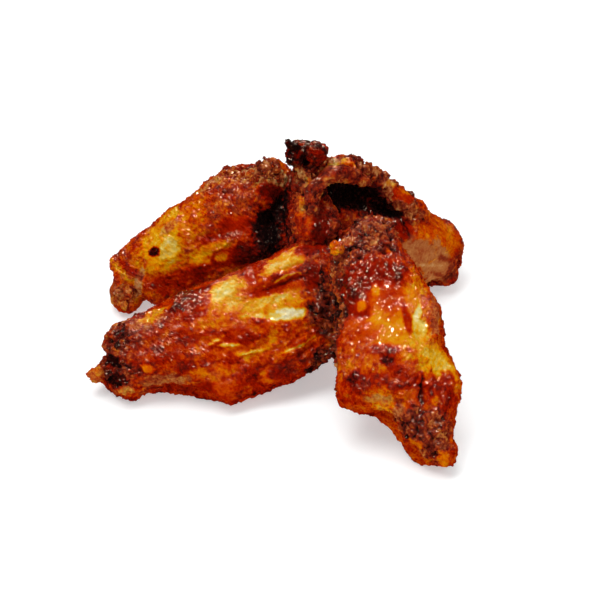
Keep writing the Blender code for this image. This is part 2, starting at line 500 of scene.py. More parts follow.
        rise = (
            HEIGHT.broad * self.relief * broad
            + HEIGHT.middling * plain * middling
            + HEIGHT.crinkle * skin * crinkle + HEIGHT.streak * skin * streaks
            + HEIGHT.wrinkle * skin * (wrinkles - 0.3)
            + (HEIGHT.fold * skin + HEIGHT.pleat * pleat) * (pleats - 0.3)
            + HEIGHT.scab * skin * scabs * (0.4 + 0.6 * granules)
            + HEIGHT.blister * skin * blistered * crumbs
            + HEIGHT.freckle * skin * freckles
            + self.relief * rough * fried
        )
        fade = smooth_step(np.minimum(self.along, 1 - self.along), 0.0, 0.012)[:, None]
        sideways = HEIGHT.overhang * self.relief * rough * fade
        self.grid = grid + self.normals * (rise * fade)[..., None] + drift * sideways[..., None]
        # browning of raised skin marks; raised wrinkles come out paler, partly glaze pooled in the
        # hollows and partly painted shade
        baked = (
            SHADE.streak * streaks + SHADE.scab * scabs + SHADE.freckle * freckles
            + SHADE.wrinkle * wrinkles + SHADE.blister * blistered * (crumbs - 0.4)
        )
        # crust: darker in the hollows between crumbs and paler on ridge crests, partly glaze pooled in
        # the hollows and partly painted shade, plus a random tone for each crumb
        burnt = (
            SHADE.crumb * (0.4 - crumbs) + SHADE.clump * (0.4 - clumps)
            + SHADE.granule * (0.4 - granules) + SHADE.ridge * ridges
            + SHADE.clump_shade * (clump_shade - 0.5) + SHADE.crumb_shade * (crumb_shade - 0.5)
            + SHADE.granule_shade * (granule_shade - 0.5)
        )
        # the pleat term makes pleat crests paler: partly glaze pooled in the hollows, partly painted
        # shade
        self.zones[Zone.TONE] = self.zones[Zone.TONE] + (
            (0.3 + 0.7 * plain) * (SHADE.middling * middling + SHADE.broad * broad)
            + skin * baked + rough * burnt + SHADE.pleat * pleat * pleats
        )
        self.zones[Zone.CRUST] = self.zones[Zone.CRUST] + 0.3 * skin * scabs

    def _flow(self, crosswise: float, lengthwise: float) -> np.ndarray:
        """Coordinates that run with the wing, one unit every given number of millimetres.

        Args:
            crosswise: Millimetres round the wing.
            lengthwise: Millimetres along the wing.

        Returns:
            Points of shape (sections, points, 3): a circle round the wing's middle, drawn out.
        """
        ring = self.arc / np.maximum(self.girth, 1e-9) * 2 * np.pi
        radius = self.girth / (2 * np.pi) + 1.5 * Grain(7.0, self.seed + 20).at(self.grid)
        run = np.broadcast_to((self.along * self.length)[:, None], ring.shape)
        return np.stack([
            np.cos(ring) * radius / crosswise, np.sin(ring) * radius / crosswise, run / lengthwise,
        ], axis=-1)

    def build(self) -> bpy.types.Object:
        """Draw, swell, paint and roughen the wing, and make its mesh.

        Returns:
            The wing's mesh object.
        """
        self.draw()
        self.swell()
        self.paint()
        self.roughen()
        numbers = {zone.value: np.clip(values, 0, 1)[None] for zone, values in self.zones.items()}
        made = closed_mesh(self.piece, on_floor(self.grid)[None], numbers)
        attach(made, "root")
        if self.node:
            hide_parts(self.node)
        return made


def on_floor(points: np.ndarray) -> np.ndarray:
    """Points moved from the drawing frame to the heap's, with none below the floor."""
    moved = points - HEAP_CENTRE
    moved[..., 2] = np.maximum(moved[..., 2], 0.0)
    return moved


@dataclass
class Nuggets:
    """Lumps of fried crust that stick to a wing where its skin is crusty and dark."""

    wing: Morsel
    count: int = 90
    smallest: float = 0.5
    largest: float = 1.8
    rarity: float = 1.7  # how much rarer large ones are
    dents: float = 0.75  # how strongly noise dents the ball
    rows: int = 12
    columns: int = 14

    def build(self) -> bpy.types.Object:
        """Scatter the nuggets over the wing's crust and make one mesh of them.

        A nugget is a ball whose radius is swollen and dented by noise, drawn out by three random
        sizes, turned at random, and half sunk into the skin.

        Returns:
            The nuggets' mesh object.
        """
        dice = np.random.default_rng(self.wing.seed)
        crust = self.wing.zones[Zone.CRUST]
        steps = np.linalg.norm(np.gradient(self.wing.grid, axis=0), axis=-1) * self.wing.girth
        burnt = smooth_step(self.wing.zones[Zone.TONE], 0.5, 0.75)
        weight = (smooth_step(crust, 0.6, 1.0) * burnt * steps).ravel()
        chosen = dice.choice(weight.size, self.count, replace=False, p=weight / weight.sum())
        middle = self.wing.grid.reshape(-1, 3)[chosen]
        normal = self.wing.normals.reshape(-1, 3)[chosen]
        tone = self.wing.zones[Zone.TONE].ravel()[chosen]
        size = self.smallest * (self.largest / self.smallest) ** (dice.random(self.count) ** self.rarity)
        polar = (np.arange(self.rows) + 0.5) / self.rows * np.pi
        turn = np.arange(self.columns) / self.columns * 2 * np.pi
        ball = np.stack([
            np.outer(np.sin(polar), np.cos(turn)), np.outer(np.sin(polar), np.sin(turn)),
            np.outer(-np.cos(polar), np.ones(self.columns)),
        ], axis=-1)
        shift = dice.random((self.count, 1, 1, 3)) * 400
        swell = 1 + self.dents * Grain(0.9, self.wing.seed + 40, 2).at(ball + shift)
        drawn = ball * swell[..., None] * (0.5 + 0.8 * dice.random((self.count, 1, 1, 3)))
        axes = np.linalg.qr(dice.normal(size=(self.count, 3, 3)))[0]
        axes = axes * np.sign(np.linalg.det(axes))[:, None, None]
        turned = np.einsum("nij,nrcj->nrci", axes, drawn) * size[:, None, None, None]
        placed = turned + (middle + normal * (size * 0.05)[:, None])[:, None, None]
        shape = placed.shape[:3]
        shade = tone - 0.05 + 0.28 * (dice.random(self.count) - 0.5)
        numbers = {
            # darker where the nugget is dented and paler where it swells: partly glaze pooled in the
            # dents, partly painted shade
            Zone.TONE.value: np.clip(shade[:, None, None] - 0.2 * (swell - 1), 0, 1),
            Zone.CRUST.value: np.broadcast_to(0.55 + 0.4 * dice.random((self.count, 1, 1)), shape),
            Zone.SILK.value: np.zeros(shape),
            Zone.DRY.value: np.zeros(shape),
        }
        made = closed_mesh(self.wing.piece.replace("skin", "nuggets"), on_floor(placed), numbers)
        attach(made, "root")
        return made


# ---------------------------------------------------------------- finishes


def linear(red: int, green: int, blue: int) -> tuple[float, float, float, float]:
    """A colour of 0 to 255 a channel as linear light, with full cover."""
    def curve(value: int) -> float:
        """One channel by the sRGB curve."""
        share = value / 255
        return share / 12.92 if share <= 0.04045 else ((share + 0.055) / 1.055) ** 2.4
    return curve(red), curve(green), curve(blue), 1.0


@dataclass(frozen=True)
class Glaze:
    """Baked and glazed chicken skin: browned by tone, with crust, under a sticky gloss."""

    name: str
    skin: tuple = (  # colours by browning; the black end also stands for painted shade in hollows, the pale end for painted highlights along a few ridges
        (0.00, (228, 216, 170)), (0.12, (222, 190, 86)), (0.25, (218, 156, 8)),
        (0.38, (212, 114, 0)), (0.50, (196, 66, 0)), (0.62, (166, 27, 0)),
        (0.74, (126, 11, 0)), (0.86, (70, 8, 3)), (1.00, (13, 4, 4)),
    )
    crusts: tuple = (  # colours of crust and dry meat by browning; the black end also stands for painted shade in hollows
        (0.00, (214, 170, 124)), (0.30, (182, 112, 66)), (0.50, (142, 57, 27)),
        (0.66, (96, 34, 22)), (0.84, (44, 18, 15)), (1.00, (11, 4, 4)),
    )
    gloss: float = 1.0
    film: float = 1.6  # size of the glaze's waves, in millimetres
    vein: float = 2.2  # spread of the fine lines in the glaze, in millimetres
    wetness: tuple = (0.6, 1.4)  # waves everywhere, and how much stronger they are in clusters

    def material(self) -> bpy.types.Material:
        """Build the glaze's nodes.

        Returns:
            The material.
        """
        made = bpy.data.materials.new(self.name)
        made.use_nodes = True
        made.node_tree.nodes.clear()
        net = Net(made.node_tree)
        place = net.add("ShaderNodeTexCoord").outputs["Object"]
        tone, crust, silk, dry = (
            net.read(zone) for zone in (Zone.TONE, Zone.CRUST, Zone.SILK, Zone.DRY)
        )
        fine = net.less(net.noise(place, size=1.0, detail=3), 0.5)
        speck = net.less(net.noise(place, size=0.5, detail=1), 0.5)
        mottle = net.less(net.noise(place, size=2.6, detail=5, roughness=0.65), 0.5)
        uneven = net.sum(net.times(fine, 0.32), net.times(speck, 0.06), net.times(mottle, 0.20))
        grit = net.sum(net.times(speck, 0.15), net.times(fine, 0.5))
        coarse = net.less(1.0, net.times(silk, 0.6))
        skin = net.ramp(net.sum(tone, net.times(uneven, coarse)), self.skin)
        crusty = net.ramp(net.sum(tone, net.times(grit, coarse)), self.crusts)
        rough = net.sum(net.maths("MAXIMUM", crust, dry), net.times(mottle, 0.9), net.times(fine, 0.4))
        cover = net.clamp(net.times(net.less(rough, 0.33), 2.0))
        shader = net.add("ShaderNodeBsdfPrincipled")
        set_sockets(shader, {
            "Specular IOR Level": 0.0,
            "Coat Roughness": 0.05,
            "Coat IOR": 1.45,
            "Subsurface Weight": 0.12,
            "Subsurface Radius": (1.0, 0.35, 0.12),
            "Subsurface Scale": 1.5 * MM,
        })
        net.link(net.mix(net.times(cover, 0.85), skin, crusty), shader.inputs["Base Color"])
        net.link(net.sum(0.42, net.times(cover, 0.16), net.times(speck, 0.2)), shader.inputs["Roughness"])
        net.link(net.less(self.gloss, net.times(dry, 0.85)), shader.inputs["Coat Weight"])
        normal = self._waves(net, place, silk, dry)
        net.link(normal, shader.inputs["Normal"])
        net.link(normal, shader.inputs["Coat Normal"])
        end = net.add("ShaderNodeOutputMaterial")
        net.link(shader.outputs["BSDF"], end.inputs["Surface"])
        return made

    def _waves(self, net: "Net", place: bpy.types.NodeSocket, silk: bpy.types.NodeSocket,
               dry: bpy.types.NodeSocket) -> bpy.types.NodeSocket:
        """The glaze's uneven film: waves and thin raised lines, calm where it is silky or dry.

        Args:
            net: The material's nodes.
            place: Coordinates in metres.
            silk: Share of smoothness.
            dry: Share of dryness.

        Returns:
            The film's normal.
        """
        waves = net.noise(place, size=self.film, detail=0)
        level = net.less(net.noise(place, size=self.vein, detail=1, roughness=0.5), 0.5)
        veins = net.clamp(net.less(1.0, net.times(net.maths("ABSOLUTE", level, 0.0), 12.0)))
        clusters = net.clamp(net.times(net.less(net.noise(place, size=9.0, detail=1), 0.38), 4.0))
        calm = net.times(net.less(1.0, net.times(silk, 0.8)), net.less(1.0, net.times(dry, 0.6)))
        everywhere, clustered = self.wetness
        strength = net.times(net.sum(everywhere, net.times(clusters, clustered)), calm)
        bump = net.add("ShaderNodeBump")
        set_sockets(bump, {"Strength": 1.0, "Distance": 0.4 * MM})
        net.link(net.times(net.sum(waves, net.times(veins, 0.30)), strength), bump.inputs["Height"])
        return bump.outputs["Normal"]


def set_sockets(node: bpy.types.Node, values: dict[str, object]) -> None:
    """Set a node's own sockets by their names."""
    for name, value in values.items():
        node.inputs[name].default_value = value


class Net:
    """Short ways to add nodes to a material's tree and link them."""

    def __init__(self, tree: bpy.types.NodeTree) -> None:
        """Keep the tree that nodes are added to."""
        self.tree = tree

    def add(self, kind: str) -> bpy.types.Node:
        """A new node of a kind."""
        return self.tree.nodes.new(kind)

    def link(self, source: bpy.types.NodeSocket, target: bpy.types.NodeSocket) -> None:
        """Link an output to an input."""
        self.tree.links.new(source, target)

    def read(self, zone: Zone) -> bpy.types.NodeSocket:
        """A number kept on the mesh."""
        node = self.add("ShaderNodeAttribute")
        node.attribute_name = zone.value
        return node.outputs["Fac"]

    def noise(self, place: bpy.types.NodeSocket, size: float, detail: float,
              roughness: float = 0.55) -> bpy.types.NodeSocket:
        """Noise of a given size.

        Args:
            place: Coordinates in metres.
            size: Size of its largest bumps, in millimetres.
            detail: Number of finer layers.
            roughness: Strength of each finer layer beside the last.

        Returns:
            The noise, from 0 to 1.
        """
        node = self.add("ShaderNodeTexNoise")
        set_sockets(node, {"Scale": 1 / (size * MM), "Detail": detail, "Roughness": roughness})
        self.link(place, node.inputs["Vector"])
        return node.outputs["Fac"]

    def maths(self, operation: str, first: object, second: object) -> bpy.types.NodeSocket:
        """The outcome of an operation on two sockets or numbers.

        Args:
            operation: Blender's name for it.
            first: A socket or a number.
            second: A socket or a number.

        Returns:
            The outcome.
        """
        node = self.add("ShaderNodeMath")
        node.operation = operation
        for socket, value in zip(node.inputs, (first, second)):
            if isinstance(value, bpy.types.NodeSocket):
                self.link(value, socket)
            else:
                socket.default_value = value
        return node.outputs[0]

    def times(self, first: object, second: object) -> bpy.types.NodeSocket:
        """A product."""
        return self.maths("MULTIPLY", first, second)

    def less(self, first: object, second: object) -> bpy.types.NodeSocket:
        """A difference."""
        return self.maths("SUBTRACT", first, second)

    def sum(self, *terms: object) -> bpy.types.NodeSocket:
        """A sum of sockets or numbers."""
        return functools.reduce(lambda total, term: self.maths("ADD", total, term), terms)

    def clamp(self, value: object) -> bpy.types.NodeSocket:
        """A value held between 0 and 1."""
        return self.maths("MINIMUM", self.maths("MAXIMUM", value, 0.0), 1.0)

    def ramp(self, value: bpy.types.NodeSocket, stops: tuple) -> bpy.types.NodeSocket:
        """Colours along a value.

        Args:
            value: The value.
            stops: Places from 0 to 1, each with a colour of 0 to 255 a channel.

        Returns:
            The colour.
        """
        node = self.add("ShaderNodeValToRGB")
        elements = node.color_ramp.elements
        while len(elements) < len(stops):
            elements.new(1.0)
        for element, (place, colour) in zip(elements, stops):
            element.position = place
            element.color = linear(*colour)
        self.link(value, node.inputs["Fac"])
        return node.outputs["Color"]

    def mix(self, share: bpy.types.NodeSocket, first: bpy.types.NodeSocket,
            second: bpy.types.NodeSocket) -> bpy.types.NodeSocket:
        """Two colours mixed by a share.

        Args:
            share: 0 gives the first and 1 the second.
            first: A colour.
            second: A colour.

        Returns:
            The mixed colour.
        """
        node = self.add("ShaderNodeMix")
        node.data_type = "RGBA"
        self.link(share, node.inputs["Factor"])
        self.link(first, node.inputs["A"])
        self.link(second, node.inputs["B"])
        return node.outputs["Result"]


# ---------------------------------------------------------------- the five wings

FRONT_LEFT = Morsel(
    node="wing_front_left", piece="skin_front_left", slot="glaze_front_left", seed=11,
    spine=((-64.5, -15, 6.5), (-48, -13, 13), (-26, -10, 18), (-4, -5, 22), (15, 1, 27), (27, 6, 30)),
    facing=((-0.3, -0.8, 0.6), (0.0, -0.8, 0.6), (0.2, -0.75, 0.65)),
    upper=(4, 13, 18, 20, 21, 18), lower=(6, 14, 21.5, 22, 17, 15), depth=(5, 10, 12, 12, 11, 8),
    floor_round=0.10, raised_round=0.10, base_tone=0.63, base_crust=0.12,
    lumps=swellings(
        (0.15, 10, 6, 7, 2), (0.13, 172, 6, 8, 2.5), (0.44, 162, 7, 9, 2.2), (0.30, 150, 9, 7, -2.6),
        (0.66, 60, 16, 8, 1.5), (0.58, 102, 15, 5, -1.5), (0.42, 138, 4, 4, 2.2),
        (0.56, 142, 3, 2.6, 1.2), (0.13, 139, 2.6, 2.2, 1.6), (0.10, 30, 3.5, 3.5, 1.8),
        (0.57, 66, 14, 5, -2.2, 14), (0.69, 58, 9, 3.4, 2.4, 8, 5), (0.73, 38, 7.4, 3.2, 1.3, -15),
        (0.60, 94, 13, 2.6, 1.3, 14, 0.5), (0.23, 105, 1.6, 1.6, 1.2), (0.76, 110, 3, 12, -1.8),
        (0.40, 100, 12, 3, 0.9, 8), (0.27, 80, 6, 2.2, -0.9, -20), (0.43, 158, 3.2, 4, 1.5),
        (0.69, 59.5, 8, 0.5, 0.5, 7), (0.72, 52, 9, 0.9, -1, 4), (0.61, 46, 1, 4, -0.8, 4),
        (0.07, 22, 5, 8, -4.2), (0.10, 350, 2.4, 3.4, 2), (0.28, 166, 11, 6, -3.3),
        (0.70, 158, 11, 6, 2), (0.41, 87, 2.8, 0.6, 1, 48), (0.44, 93, 2.6, 0.6, 1, -24),
        (0.47, 97, 2.8, 0.6, 1, 16), (0.52, 107, 3, 0.6, 1, 5), (0.52, 98, 2.6, 0.6, 1, 45),
        (0.65, 72, 3.4, 0.6, 0.5, 12), (0.56, 96, 2.8, 0.6, 0.9, -4), (0.64, 122, 4, 0.6, 0.9, -3),
        (0.68, 116, 4, 0.6, 0.9, 1), (0.36, 76, 2.2, 0.6, 0.8, 23), (0.31, 87, 2.8, 0.6, 0.8, -13),
        (0.60, 108, 2.8, 0.6, 0.8, -5),
    ),
    patches=(
        Patch(0.18, 70, 13, 17, tone=0.72, crust=0.7), Patch(0.32, 93, 12, 9, 15, tone=0.61, crust=0.3),
        Patch(0.26, 128, 9, 3.4, -6, tone=0.46, crust=0.2, dry=0.8),
        Patch(0.43, 39, 7, 5.5, 62, tone=0.74, silk=0.6),
        Patch(0.29, 40, 5, 3.4, 4, tone=0.40, crust=0.35),
        Patch(0.79, 82, 15, 6, -67, tone=0.77, crust=0.8),
        Patch(0.74, 126, 13, 6, -71, tone=0.86, crust=1),
        Patch(0.58, 68, 17, 8, 12, tone=0.50, silk=0.4),
        Patch(0.515, 49, 7.6, 6.4, -79, tone=0.29, silk=0.2),
        Patch(0.50, 44, 4.2, 2.8, -30, tone=0.14, silk=0.2),
        Patch(0.60, 76, 13, 3.8, 11, tone=0.29, silk=0.4),
        Patch(0.65, 74, 4.4, 1.6, 12, tone=0.20, silk=0), Patch(0.67, 90, 5, 2.1, 20, tone=0, silk=0.6),
        Patch(0.58, 84, 7, 1, 20, tone=0.18), Patch(0.64, 61, 9, 2.5, 14, tone=0.62, silk=0.6),
        Patch(0.73, 39, 8.8, 4.8, -15, tone=0.48, silk=0.3, pleat=0.3),
        Patch(0.73, 39, 8, 4, -15, tone=0.25, silk=0.5, pleat=0.9),
        Patch(0.70, 16, 9, 2, tone=0.60, silk=0.5), Patch(0.60, 36, 4.6, 2.2, -72, tone=0.62, silk=0.7),
        Patch(0.68, 63, 8, 0.6, 7, tone=0.80, silk=0.5, pleat=0),
        # pale line along the fold's rim: painted highlight
        Patch(0.69, 60, 7.5, 0.3, 7, tone=0.20, silk=0.8, pleat=0),
        Patch(0.80, 68, 5.6, 2.2, -55, tone=0.74, silk=0.5),
        Patch(0.85, 30, 8, 2.4, -11, tone=0.72, silk=0.8), Patch(0.44, 79, 5.5, 2.2, 22, tone=0.46),
        Patch(0.44, 91, 8, 3, 20, tone=0.64, crust=0.1, pleat=0.7),
        Patch(0.50, 97, 7, 4.2, 24, tone=0.66, silk=0.4),
        Patch(0.60, 108, 5, 3, -83, tone=0.40, crust=0.1),
        Patch(0.66, 101, 6, 3, 10, tone=0.48, crust=0.1),
        Patch(0.68, 121, 8, 5.5, 7, tone=0.60, crust=0.1, pleat=0.8),
        Patch(0.42, 137, 5, 4.4, -50, tone=0.56, crust=0.1, silk=0.6),
        Patch(0.38, 139, 3.6, 2, -71, tone=0.72, silk=0.7),
        Patch(0.41, 117, 6, 2.8, 5, tone=0.40, crust=0.2, silk=0.2),
        Patch(0.56, 140, 3.6, 2.6, 83, tone=0.46, silk=0.5),
        Patch(0.62, 136, 6, 4, 10, tone=0.74, crust=0.4),
        Patch(0.36, 44, 4.5, 2.4, 5, tone=0.72, crust=0.1),
        Patch(0.10, 116, 4.6, 3.6, tone=1, crust=0.5), Patch(0.12, 84, 3, 2.2, 26, tone=1, crust=0.4),
        Patch(0.23, 105, 1.9, 1.6, tone=0.40, silk=0.8),
        Patch(0.13, 139, 2.9, 2.3, tone=0.48, crust=0.6),
        Patch(0.55, 110, 10, 4.5, 20, tone=0.50, crust=0.05, pleat=0.4),
        # pale lines along the raised ridges of the broad face: partly thinner glaze on the ridges, partly
        # painted highlight
        Patch(0.47, 97, 3, 0.45, 16, tone=0.12, soft=0.6),
        Patch(0.44, 92, 2.8, 0.45, -24, tone=0.16, soft=0.6),
        Patch(0.52, 107, 3, 0.45, 5, tone=0.14, soft=0.6),
        Patch(0.66, 119, 4.4, 0.45, tone=0.20, soft=0.6),
    ),
)
FRONT_RIGHT = Morsel(
    node="wing_front_right", piece="skin_front_right", slot="glaze_front_right", seed=23,
    spine=((55, -57.4, 2), (50, -45, 15), (43, -32, 27), (38, -17, 38), (33, -3, 48), (28, 5, 54)),
    facing=((0.2, -0.75, 0.7), (0.0, -0.7, 0.7), (-0.1, -0.7, 0.7)),
    upper=(7, 14, 23, 19, 16, 13), lower=(6, 12, 15.5, 14.5, 11, 10), depth=(8, 10, 12, 12, 11, 9),
    floor_round=0.07, raised_round=0.10, base_tone=0.56, base_crust=0.15,
    lumps=swellings(
        (0.36, 5, 7, 8, 2.5), (0.30, 130, 8, 5, -2.5), (0.95, 70, 9, 9, -0.8), (0.84, 120, 7, 6, -2),
        (0.26, 89, 5, 1.1, -2, 30), (0.93, 52, 3, 2.4, 2), (0.62, 20, 18, 4, -2.5, 20),
        (0.30, 44, 6, 2.2, -1.4, -55), (0.14, 88, 5, 4, 1.4), (0.24, 112, 6, 3.4, 1.5, 60),
        (0.46, 113, 6, 2.4, -1.2, 35), (0.50, 101, 7, 1.6, 1, -10), (0.99, 200, 7, 9, 4),
        (0.52, 146, 8, 2, 1.2, 24), (0.10, 168, 6, 7, -4.2), (0.27, 172, 6, 7, 1.5),
        (0.40, 172, 4, 6, -1.3), (0.54, 170, 4, 5, 1.2), (0.02, 130, 5, 6, 1.2), (0.35, 5, 5, 6, 1.8),
        (0.23, 10, 6, 6, -4), (0.09, 15, 6, 5, -1.9), (0.42, 358, 5, 6, -1.3), (0.05, 20, 6, 6, -1.5),
        (0.03, 90, 2.6, 2.2, 1.4, -69), (0.60, 68, 1.8, 1.6, 0.8),
    ),
    patches=(
        Patch(0.93, 90, 13, 16, tone=0.83, crust=0.85, soft=0.8),
        Patch(0.61, 16, 20, 7, 23, tone=0.84, crust=0.9),
        Patch(0.80, 55, 9, 6, tone=0.80, crust=0.8, soft=0.7),
        Patch(0.95, 70, 4, 3, tone=0.60, crust=0.7),
        Patch(0.88, 125, 8, 6, 7, tone=0.74, crust=0.8, soft=0.7),
        Patch(0.69, 84, 10, 6.5, -76, tone=0.76, silk=0.5),
        Patch(0.61, 88, 7, 4, -81, tone=0.60, silk=0.8),
        Patch(0.51, 85, 10, 8, -85, tone=0.34, silk=0.75), Patch(0.50, 58, 7, 5, -85, tone=0.50),
        Patch(0.59, 90, 4.6, 4, 10, tone=0.59, silk=0.85, soft=0.6),
        Patch(0.64, 84, 1.9, 1.7, tone=0.38, silk=1), Patch(0.62, 62, 7, 3.4, -30, tone=0.72, silk=0.4),
        Patch(0.57, 125, 8, 4.4, 23, tone=0.40, crust=0.1),
        Patch(0.50, 102, 7, 1.6, tone=0.64, crust=0.1),
        Patch(0.46, 113, 4.8, 2.4, 35, tone=0.08, silk=0.6), Patch(0.52, 118, 2.8, 1.2, 35, tone=0.10),
        Patch(0.39, 108, 7, 5, 7, tone=0.28, crust=0.05),
        Patch(0.31, 140, 8, 4.4, -19, tone=0.23, silk=0.5),
        Patch(0.43, 76, 5, 2.3, -78, tone=0.70, crust=0.2),
        Patch(0.40, 76, 2.2, 1.4, -86, tone=0.95, crust=0.6),
        Patch(0.41, 48, 8, 5, -84, tone=0.46, crust=0.05),
        Patch(0.33, 81, 7, 2.8, -74, tone=0.68, crust=0.1),
        Patch(0.36, 53, 8, 2.6, -73, tone=0.72, crust=0.35),
        Patch(0.30, 46, 5.2, 2.2, -55, tone=0.38, crust=0.1, dry=0.6),
        Patch(0.23, 54, 4.6, 2.7, 51, tone=0.36, crust=0.1, dry=0.9),
        Patch(0.18, 60, 6.5, 4.6, 61, tone=0.70, crust=0.9),
        Patch(0.24, 115, 8, 5, 76, tone=0.70, crust=0.25),
        Patch(0.14, 88, 8, 4.6, -81, tone=0.66, crust=0.6),
        Patch(0.10, 39, 3.2, 2, -47, tone=0.48, crust=0.2),
        Patch(0.51, 146, 9, 2.4, 24, tone=0.48, crust=0.4, dry=0.8),
        # near black along the cleft: partly dark glaze, partly painted shade
        Patch(0.26, 89, 4.8, 1, 30, tone=0.92, crust=0.3, soft=0.5),
        Patch(0.22, 97, 3.4, 1, 30, tone=0.46), Patch(0.93, 52, 3.4, 2.2, -41, tone=0.48, crust=0.4),
        Patch(0.55, 84, 12, 9, -84, crust=None, silk=0.82),
        Patch(0.12, 72, 9, 9, -79, tone=0.74, crust=0.75),
        Patch(0.26, 36, 4.4, 2.6, 76, tone=0.42, crust=0.2, dry=0.4),
        Patch(0.03, 90, 2.6, 2.2, -69, tone=0.40, crust=0.1, silk=0.6),
        Patch(0.10, 34, 3, 1.9, -84, tone=0.42, crust=0.1, silk=0.6),
        Patch(0.60, 68, 1.9, 1.7, tone=0.38, silk=0.8),
    ),
)
BACK_LEFT = Morsel(
    node="wing_back_left", piece="skin_back_left", slot="glaze_back_left", seed=37,
    spine=((-59, 35, 7.5), (-46, 35.5, 17), (-26, 35.5, 30), (-8, 35, 42), (5, 33, 52)),
    facing=((-0.2, -0.8, 0.6), (-0.2, -0.8, 0.6)),
    upper=(8, 11, 15.5, 17, 13), lower=(8, 14, 19, 19, 15), depth=(7, 10, 12, 12, 10),
    floor_round=0.04, raised_round=0.10, base_tone=0.58, base_crust=0.3,
    lumps=swellings(
        (0, 160, 6, 7, 3.6), (0.10, 120, 7, 6, -2), (0.96, 25, 6, 6, 0.6), (0.82, 30, 6, 7, -1.4),
        (0.88, 110, 9, 10, -5), (0.50, 70, 16, 9, 1.5), (0.90, 118, 7, 5.5, -7),
        (0.60, 96, 7, 1.8, -1, 14), (0.46, 78, 2.4, 12, 0.9), (0.94, 48, 3.4, 3, 2.4),
        (0.86, 20, 3, 3, 1.8), (0.33, 82, 1.8, 1.6, -0.8), (0.24, 100, 3, 8, -1.4, -30),
        (0.09, 170, 3.5, 6, -2.6), (0.06, 4, 3.5, 5, 2.4), (0.28, 5, 6, 6, 0.6), (0.20, 172, 6, 6, 1.6),
        (0, 50, 3.5, 6, -1.4), (0, 140, 4, 5, 3.2), (0.18, 8, 6, 5, 1), (0.66, 5, 6, 6, 1.2),
        (0.83, 8, 3, 5, -1), (0.50, 5, 7, 6, -0.8), (0.88, 15, 4.5, 6, -2.2), (0.98, 12, 5, 6, 3),
    ),
    patches=(
        Patch(0.75, 40, 15, 7, tone=0.56, crust=0.75), Patch(0.70, 77, 14, 10, 12, tone=0.60, crust=0.5),
        Patch(0.53, 75, 9, 5, -47, tone=0.45, crust=0.15),
        Patch(0.38, 81, 11, 9, -48, tone=0.38, crust=0.1, silk=0.3),
        Patch(0.38, 80, 9, 6.5, -48, tone=0.26, crust=0.1, silk=0.4),
        Patch(0.39, 89, 5, 3, -61, tone=0.12, silk=0.4),
        Patch(0.42, 52, 7, 4.6, 24, tone=0.30, crust=0.1), Patch(0.43, 66, 4, 2, tone=0.40, crust=0.6),
        Patch(0.33, 82, 1.9, 1.6, tone=0.92, crust=0.4), Patch(0.29, 98, 5, 2, 17, tone=0.30),
        Patch(0.70, 98, 8, 3.2, 23, tone=0.66, silk=0.6), Patch(0.57, 96, 7, 1.5, 14, tone=0.68),
        Patch(0.50, 110, 5.2, 3.6, 22, tone=0.33, silk=0.4), Patch(0.60, 108, 5, 1.6, 15, tone=0.38),
        Patch(0.60, 124, 8.5, 3.4, 8, tone=0.72, silk=0.7), Patch(0.57, 120, 2.4, 2, tone=0.38),
        Patch(0.36, 126, 12, 3.6, -1, tone=0.69, crust=0.1, silk=0.3),
        Patch(0.14, 39, 9, 3, 34, tone=0.54, crust=0.4),
        Patch(0.13, 90, 9, 4.5, -35, tone=0.48, crust=0.3),
        Patch(0.15, 111, 8.3, 1.9, -37, tone=0.30, crust=0.1, dry=0.9),
        Patch(0.03, 116, 6, 4, tone=0.64, crust=0.7),
        Patch(0.97, 84, 6, 3.8, 14, tone=0.84, crust=0.2, silk=0.6),
        # first patch: near black and matte in the dent at the raised end, partly dark glaze and partly
        # painted shade; second patch: dark maroon low on the front near that end, painted shade
        Patch(0.87, 123, 11, 8.4, -15, tone=1, dry=1), Patch(0.68, 138, 7, 5, 7, tone=0.86, crust=0.4),
        Patch(0.94, 48, 6, 5, tone=0.60, crust=0.9),
        Patch(0.03, 40, 2.2, 7, tone=0.60, crust=0.4, dry=0.4),
        Patch(0.09, 60, 1.8, 8, -20, tone=0.36, crust=0.1),
        Patch(0.17, 84, 2, 6, -30, tone=0.62, crust=0.1),
    ),
    sections=300, points=260,
)
